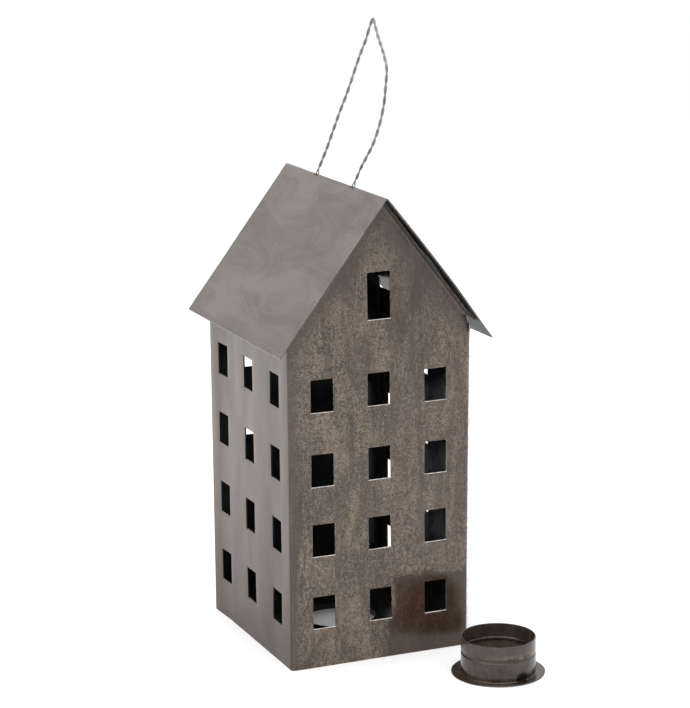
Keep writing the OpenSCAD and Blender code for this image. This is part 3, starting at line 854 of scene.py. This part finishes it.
def roof_lift(s, y):
    """The right slope's bow, slight waves of both, and two tack marks on the left one."""
    run = (abs(s) - RIDGE_RUN) / SLOPE_RUN
    if run <= 0:
        return 0.0
    fade = ease(0, 0.12, run)
    bow = 0.0
    if s > 0:
        to_front = ease(roof_high.y, roof_low.y, y)
        bow = SLOPE_BOW * math.sin(math.pi * min(run * 1.05, 1)) * to_front
    big = noise.noise(Vector((s * 18, y * 14, 2)))
    small = noise.noise(Vector((s * 50, y * 40, 5)))
    tacks = sum(TACK_H * math.exp(-((s - mid) ** 2 + (y - roof_low.y) ** 2) / TACK_R ** 2)
                for mid in TACKS)
    return bow + fade * (big * 0.30 + small * 0.06) * MM + tacks


def roof_mesh():
    """The folded roof's outer face, with finer lines at the ridge, holes and tack marks."""
    s_stops = [-RIDGE_RUN - SLOPE_RUN, -RIDGE_RUN, 0, RIDGE_RUN, RIDGE_RUN + SLOPE_RUN]
    to_tacks = [mid + k * TACK_STEP for mid in TACKS for k in range(-4, 5)]
    left_lines = grid_lines(s_stops[:2] + to_tacks, GRID_STEP)[:-1]
    ridge_lines = grid_lines(s_stops[1:4], RIDGE_STEP)
    s_lines = left_lines + ridge_lines + grid_lines(s_stops[3:], GRID_STEP)[1:]
    to_tacks = [roof_low.y + k * TACK_STEP for k in range(1, 5)]
    y_lines = grid_lines([roof_low.y, roof_high.y] + FEET + to_tacks, GRID_STEP)
    bm = bmesh.new()
    grid = []
    for y in y_lines:
        grid.append([])
        for s in s_lines:
            place, out = roof_section(s)
            grid[-1].append(bm.verts.new(place + out * roof_lift(s, y) + Vector((0, y, 0))))
    for j in range(len(y_lines) - 1):
        for i in range(len(s_lines) - 1):
            bm.faces.new((grid[j][i], grid[j][i + 1], grid[j + 1][i + 1], grid[j + 1][i]))
    return take_mesh("roof", bm)


def cut_holes(piece):
    """Cuts the handle's holes down through the ridge."""
    cutters = []
    for y in FEET:
        bm = bmesh.new()
        bmesh.ops.create_cone(bm, cap_ends=True, segments=32, radius1=HOLE_R, radius2=HOLE_R,
                              depth=12 * MM, matrix=Matrix.Translation((0, y, RIDGE_Z)))
        cutters.append(new_object("hole", take_mesh("hole", bm)))
        cut = piece.modifiers.new("hole", "BOOLEAN")
        cut.object = cutters[-1]
        cut.operation = "DIFFERENCE"
        cut.solver = "EXACT"
    settle(piece)
    for cutter in cutters:
        bpy.data.objects.remove(cutter)


def make_roof():
    """The folded roof sheet, with its rims bevelled and given a painted highlight, and the holes cut last.
    """
    piece = new_sheet("roof_skin", roof_mesh(), "roof_patina", "roof_sheet",
                      roof_patina, dull_edge, roof_inside, roof_rim_highlight)
    # The rims' bevels take the painted highlight.
    add_bevel(piece, RIM_BEVEL, 1).material = CHOSEN
    settle(piece)
    cut_holes(piece)


make_roof()


# --- Handle wire ---
WIRE_R = 0.41 * MM
STRAND_OFF = WIRE_R + 0.025 * MM
TWIST_PITCH = 11.4 * MM
BEND_R = 0.9 * MM
FOOT_STEPS = 8
HOLE_TOP = 1.8 * MM
WIRE_END = 5 * MM
HANDLE_LEAN = math.radians(12)
TURN_RINGS = 20
WIRE_SIDES = 14
PIVOT_Z = frame["joints"][0]["pos_m"][2]
# Places along the ridge and heights above the pivot, in millimetres
HANDLE_ROUTE = [
    (-26.2, 4), (-28, 7.2), (-30.7, 12.4), (-35.4, 19), (-40.2, 26.3), (-43.8, 37.5),
    (-44.4, 47.8), (-42.6, 56.5), (-39.8, 66), (-32.8, 73.4), (-21.4, 82), (-13, 89.2),
    (-11, 90.6), (-9.4, 88.9), (-6.6, 79), (-2.4, 69.8), (1.8, 57.6), (5.6, 47.4),
    (9.8, 38.4), (13.3, 29.4), (16, 22.3), (19.4, 14), (23, 6.8), (24.3, 4),
]


def smooth_route(points, parts=12):
    """A smooth curve through the points, as many short steps."""
    def lead(i):
        a, b = points[max(i - 1, 0)], points[min(i + 1, len(points) - 1)]
        return (b - a) / ((b - points[i]).length + (points[i] - a).length)

    curve = []
    for i in range(len(points) - 1):
        p, q = points[i], points[i + 1]
        span = (q - p).length
        for k in range(parts):
            t = k / parts
            curve.append(p * (2 * t ** 3 - 3 * t ** 2 + 1) + lead(i) * span * (t ** 3 - 2 * t ** 2 + t)
                         + q * (3 * t ** 2 - 2 * t ** 3) + lead(i + 1) * span * (t ** 3 - t ** 2))
    return curve + [points[-1]]


def running_lengths(curve):
    """The length along a curve at each of its places."""
    runs = [0.0]
    for a, b in zip(curve, curve[1:]):
        runs.append(runs[-1] + (b - a).length)
    return runs


def even_steps(curve, count):
    """count + 1 places evenly spaced along a curve, with its direction at each."""
    runs = running_lengths(curve)
    places = []
    i = 0
    for k in range(count + 1):
        run = runs[-1] * k / count
        while i < len(curve) - 2 and runs[i + 1] < run:
            i += 1
        t = (run - runs[i]) / (runs[i + 1] - runs[i])
        places.append(curve[i].lerp(curve[i + 1], min(t, 1.0)))
    leads = [(places[min(k + 1, count)] - places[max(k - 1, 0)]).normalized()
             for k in range(count + 1)]
    return places, leads


def wire_path():
    """The whole wire: end, strand, loop through the back holes, strand, end."""
    curve = smooth_route([Vector((0, y, z)) * MM for y, z in HANDLE_ROUTE])
    turns = round(running_lengths(curve)[-1] / TWIST_PITCH)
    places, leads = even_steps(curve, turns * TURN_RINGS)

    def strand(side):
        path = []
        for k, (place, lead) in enumerate(zip(places, leads)):
            a = 2 * math.pi * k / TURN_RINGS
            across = Vector((math.sin(a), math.cos(a) * lead.z, -math.cos(a) * lead.y))
            path.append(place + side * STRAND_OFF * across)
        return path

    def foot(y, side):
        path = []
        for k in range(FOOT_STEPS + 1):
            a = math.pi / 2 * (1 - k / FOOT_STEPS)
            path.append(Vector((0, y + side * BEND_R * (1 - math.cos(a)), BEND_R * (1 - math.sin(a)))))
        return path + [Vector((0, y, HOLE_TOP))]

    front_low, front_up, back_low, back_up = FEET
    return ([Vector((0, front_low - WIRE_END, 0))] + foot(front_low, -1) + strand(-1)
            + foot(back_up, -1)[::-1] + foot(back_low, 1) + strand(1)[::-1]
            + foot(front_up, 1)[::-1] + [Vector((0, front_up + WIRE_END, 0))])


def drawn(i, place):
    """Share of the width at a wire's i-th place: nearly even."""
    return 1 + 0.03 * noise.noise(Vector((i * 0.4, 0, 3)))


def lumpy(i, place):
    """Share of the width at a solder bead's place: in lumps about a millimetre long."""
    return 1 + 0.5 * noise.noise(place * 900)


def swept_mesh(name, path, radius, sides, width_share):
    """A round bar along a path with rounded ends, as wide as width_share(i, place) says."""
    leads = [(path[min(i + 1, len(path) - 1)] - path[max(i - 1, 0)]).normalized()
             for i in range(len(path))]
    bm = bmesh.new()
    across = leads[0].orthogonal().normalized()
    rings = []
    for i, (place, lead) in enumerate(zip(path, leads)):
        across = (across - across.dot(lead) * lead).normalized()
        up = lead.cross(across)
        width = radius * width_share(i, place)
        rings.append([bm.verts.new(place + width * (math.cos(2 * math.pi * k / sides) * across
                                                     + math.sin(2 * math.pi * k / sides) * up))
                      for k in range(sides)])
    for a, b in zip(rings, rings[1:]):
        for k in range(sides):
            bm.faces.new((a[k], a[(k + 1) % sides], b[(k + 1) % sides], b[k]))
    for ring, lead, place in ((rings[0], -leads[0], path[0]), (rings[-1], leads[-1], path[-1])):
        tip = bm.verts.new(place + lead * radius * 0.35)
        for k in range(sides):
            bm.faces.new((ring[k], ring[(k + 1) % sides], tip))
    bmesh.ops.recalc_face_normals(bm, faces=bm.faces)
    mesh = take_mesh(name, bm)
    shade_smooth(mesh)
    return mesh


def make_handle():
    """The twisted wire, leaning over at its pivot as in the photo."""
    mesh = swept_mesh("handle_wire", wire_path(), WIRE_R, WIRE_SIDES, drawn)
    mesh.transform(Matrix.Translation((0, 0, PIVOT_Z)) @ Matrix.Rotation(HANDLE_LEAN, 4, "Y"))
    new_piece("handle_twisted", mesh, "handle", "handle_wire", ["handle_wire"], wire_dark)


make_handle()


# --- Solder ---
TACK_LEN = 6 * MM
SEAM_BEAD_R = 0.6 * MM
ROOF_BEAD_R = 0.7 * MM
BEAD_SIDES = 10
SEAM_STEPS = 120
TACK_STEPS = 12


def make_beads(name, node, paths, radius, turn):
    """Lumpy solder beads along the paths, as one piece that replaces a node."""
    bm = bmesh.new()
    for path in paths:
        mesh = swept_mesh(name, path, radius, BEAD_SIDES, lumpy)
        bm.from_mesh(mesh)
        bpy.data.meshes.remove(mesh)
    mesh = take_mesh(name, bm)
    mesh.transform(Matrix.Rotation(turn, 4, "Z"))
    shade_smooth(mesh)
    new_piece(name, mesh, "house", "solder", [node], solder_grey)


def seam_path(tab_out):
    """Down the inner edge of the lapped tab."""
    y = -HALF_D + CORNER_R + TAB_LEN
    low, high = TAB_Z + 2 * MM, TAB_TOP - 2 * MM
    path = []
    for k in range(SEAM_STEPS + 1):
        z = low + (high - low) * k / SEAM_STEPS
        out = at_height(tab_out, z) * (1 - ease(0, SPREAD_LEN, TAB_LEN))
        path.append(Vector((TAB_X + out - 0.1 * MM, y, z)))
    return path


def roof_paths():
    """Along the edges of one gable's flanges, under the roof."""
    y = -HALF_D - GABLE_FLANGE
    paths = []
    for side in (-1, 1):
        for along in (0.3, 0.75):
            path = []
            for k in range(TACK_STEPS + 1):
                run = SLOPE_LEN * along + TACK_LEN * k / TACK_STEPS
                path.append(Vector((side * run * COS, y, UNDER_Z - run * SIN))
                            - 0.35 * MM * Vector((side * SIN, 0, COS)))
            paths.append(path)
    return paths


for end, turn, tab_out in (("front", 0, FRONT_TAB_OUT), ("back", math.pi, BACK_TAB_OUT)):
    make_beads(f"seam_beads_{end}", f"seam_solder_{end}", [seam_path(tab_out)], SEAM_BEAD_R, turn)
    make_beads(f"roof_beads_{end}", f"roof_solder_{end}", roof_paths(), ROOF_BEAD_R, turn)


# --- Cup ---
CUP_SIDES = 144
LAP = 0.22 * MM
FOOT_FILLET = 0.35 * MM


def lathe(name, profile, warp, closed):
    """Turns a profile of (radius, height) round +Z at the cup, with warp(r, z, angle)."""
    bm = bmesh.new()
    rings = []
    for k in range(CUP_SIDES):
        a = SEAM_DIR + 2 * math.pi * k / CUP_SIDES
        ring = []
        for r, z in profile:
            wr, wz = warp(r, z, 2 * math.pi * k / CUP_SIDES)
            ring.append(bm.verts.new(CUP_MID + Vector((wr * math.cos(a), wr * math.sin(a), wz))))
        rings.append(ring)
    count = len(profile)
    for k in range(CUP_SIDES):
        a, b = rings[k], rings[(k + 1) % CUP_SIDES]
        for i in range(count if closed else count - 1):
            j = (i + 1) % count
            bm.faces.new((a[i], b[i], b[j], a[j]))
    if not closed:
        for i in (0, count - 1):
            bm.faces.new([ring[i] for ring in rings])
    bmesh.ops.recalc_face_normals(bm, faces=bm.faces)
    mesh = take_mesh(name, bm)
    shade_smooth(mesh)
    mesh.set_sharp_from_angle(angle=math.radians(40))
    return mesh


def groove_offset(z):
    """How far the sheet is pressed in at a height."""
    half = math.sqrt(GROOVE_R ** 2 - (GROOVE_R - GROOVE_DEPTH) ** 2)
    d = abs(z - GROOVE_Z)
    if d >= half:
        return 0.0
    return math.sqrt(GROOVE_R ** 2 - d * d) - (GROOVE_R - GROOVE_DEPTH)


def sleeve_profile():
    """Up the outside with its groove, over the rounded rim and down the inside."""
    rim = CUP_T / 2
    heights = [0.0, 3 * MM, 6 * MM, 9 * MM]
    heights += [GROOVE_Z + GROOVE_R * k / 8 for k in range(-8, 9)]
    heights += [15 * MM, 18 * MM]
    outer = [(CUP_R - groove_offset(z), z) for z in heights]
    inner = [(CUP_R - CUP_T - groove_offset(z), z) for z in reversed(heights)]
    crown = [(CUP_R - rim + rim * math.cos(math.pi * k / 6), CUP_H - rim + rim * math.sin(math.pi * k / 6))
             for k in range(7)]
    return outer + crown + inner


def foot_profile():
    """The foot ring with its rounded edge, and the solder against the sleeve."""
    t = flange_high.z - flange_low.z
    inner, outer = CUP_R - CUP_T, FOOT_R
    middle, edge = (inner + outer) / 2, outer - 1.2 * MM
    profile = [(inner, 0.0), (middle, 0.0), (edge, 0.0)]
    profile += [(outer - t / 2 + t / 2 * math.cos(a), t / 2 + t / 2 * math.sin(a))
                for a in (math.pi / 2 * (k / 4 - 1) for k in range(9))]
    profile += [(edge, t), (middle, t), (CUP_R + 0.5 * MM, t)]
    return profile + [(CUP_R + 0.1 * MM, t + FOOT_FILLET), (inner, t + FOOT_FILLET)]


def floor_profile():
    """The floor's disc, slightly dished, from its middle round its edge and back."""
    top, bottom = floor_high.z, floor_low.z
    middle, edge = 0.3 * MM, CUP_R - CUP_T - 0.25 * MM
    under = [(middle, bottom), (edge / 2, bottom), (edge, bottom)]
    return under + [(edge, top), (edge - 0.8 * MM, top - 0.1 * MM), (edge / 2, top - 0.15 * MM),
                    (middle, top - 0.15 * MM)]


def sleeve_warp(r, z, turn):
    """A lapped seam that steps down at the seam's direction, and slight ovalness."""
    lap = LAP * (1 - ease(0.10, 0.26, turn))
    wave = 0.12 * MM * noise.noise(Vector((math.cos(turn), math.sin(turn), z * 60)))
    return r + (lap if r > CUP_R - CUP_T * 0.7 else 0.0) - LAP + wave, z


def foot_warp(r, z, turn):
    """Lifts the ring's outer edge a little, unevenly round it."""
    share = ease(CUP_R, FOOT_R, r)
    lift = noise.noise(Vector((1.3 * math.cos(turn), 1.3 * math.sin(turn), 4)))
    return r, z + share * max(0.0, 0.25 + 0.5 * lift) * MM


def no_warp(r, z, turn):
    return r, z


def make_cup_piece(name, profile, warp, closed, *nodes):
    """A turned piece of the cup, in place of CAD nodes."""
    new_piece(name, lathe(name, profile, warp, closed), "cup", "cup_steel", nodes, cup_patina)


make_cup_piece("cup_side", sleeve_profile(), sleeve_warp, True, "cup_sleeve", "cup_seam_solder")
make_cup_piece("cup_foot", foot_profile(), foot_warp, True, "cup_flange", "cup_foot_solder")
make_cup_piece("cup_bottom", floor_profile(), no_warp, False, "cup_floor")


# --- CAD pieces that stay ---
BASE_BEVEL = 0.2 * MM
for node, material in (("base_plate", inside_dark), ("base_solder", solder_grey),
                       ("cup_floor_solder", solder_grey)):
    piece = frame["nodes"][node]
    use_materials(piece, material)
    if node == "base_plate":
        add_bevel(piece, BASE_BEVEL)


# --- Stage, light and camera ---
VIEW_TARGET = Vector((5.3, 0, 157.7)) * MM
VIEW_DISTANCE = 1364.2 * MM
VIEW_AROUND = math.radians(-23.1032)
VIEW_ABOVE = math.radians(12.9563)
VIEW_ROLL = math.radians(-0.5479)
LENS_MM = 128.23
SENSOR_MM = 36
LIGHT_AIM = Vector((0, 0, 0.13))


def make_stage():
    """A white floor under everything."""
    sh = Shader("floor_white")
    grain = sh.noise(40, 2, 0.5)
    material = sh.finish(sh.mix(grain, (0.94, 0.94, 0.94), (0.96, 0.96, 0.96)), 0.6, ior=1.3)
    sh.bsdf.inputs["Emission Color"].default_value = (1, 1, 1, 1)
    sh.bsdf.inputs["Emission Strength"].default_value = 0.10
    bm = bmesh.new()
    bmesh.ops.create_grid(bm, x_segments=1, y_segments=1, size=1.6)
    floor = new_object("floor", take_mesh("floor", bm))
    use_materials(floor, material)


def add_area(name, place, size, power):
    """A square soft light that faces the lantern's middle."""
    data = bpy.data.lights.new(name, "AREA")
    data.size = size
    data.energy = power
    light = new_object(name, data)
    light.location = place
    aim = LIGHT_AIM - Vector(place)
    light.rotation_euler = aim.to_track_quat("-Z", "Y").to_euler()


def make_light():
    """Even white surroundings, with soft lights from above and from the left."""
    world = bpy.data.worlds.new("studio")
    world.use_nodes = True
    background = world.node_tree.nodes["Background"]
    background.inputs["Color"].default_value = (1, 1, 1, 1)
    background.inputs["Strength"].default_value = 1.0
    bpy.context.scene.world = world
    add_area("top_light", (-0.3, -0.2, 2.2), 2.6, 40)
    add_area("left_light", (-2.2, -0.2, 1.0), 1.8, 5)


def make_camera():
    """The photo's camera, from the solved directions, distance and roll."""
    back = Vector((math.sin(VIEW_AROUND) * math.cos(VIEW_ABOVE),
                   -math.cos(VIEW_AROUND) * math.cos(VIEW_ABOVE), math.sin(VIEW_ABOVE)))
    right = Vector((math.cos(VIEW_AROUND), math.sin(VIEW_AROUND), 0))
    up = back.cross(right)
    turn = Matrix((right, up, back)).transposed().to_4x4() @ Matrix.Rotation(VIEW_ROLL, 4, "Z")
    data = bpy.data.cameras.new("camera")
    data.sensor_fit = "HORIZONTAL"
    data.sensor_width = SENSOR_MM
    data.lens = LENS_MM
    data.clip_end = 50
    camera = new_object("camera", data)
    camera.matrix_world = Matrix.Translation(VIEW_TARGET + back * VIEW_DISTANCE) @ turn
    bpy.context.scene.camera = camera


make_stage()
make_light()
make_camera()
bpy.context.scene.view_settings.view_transform = "Standard"
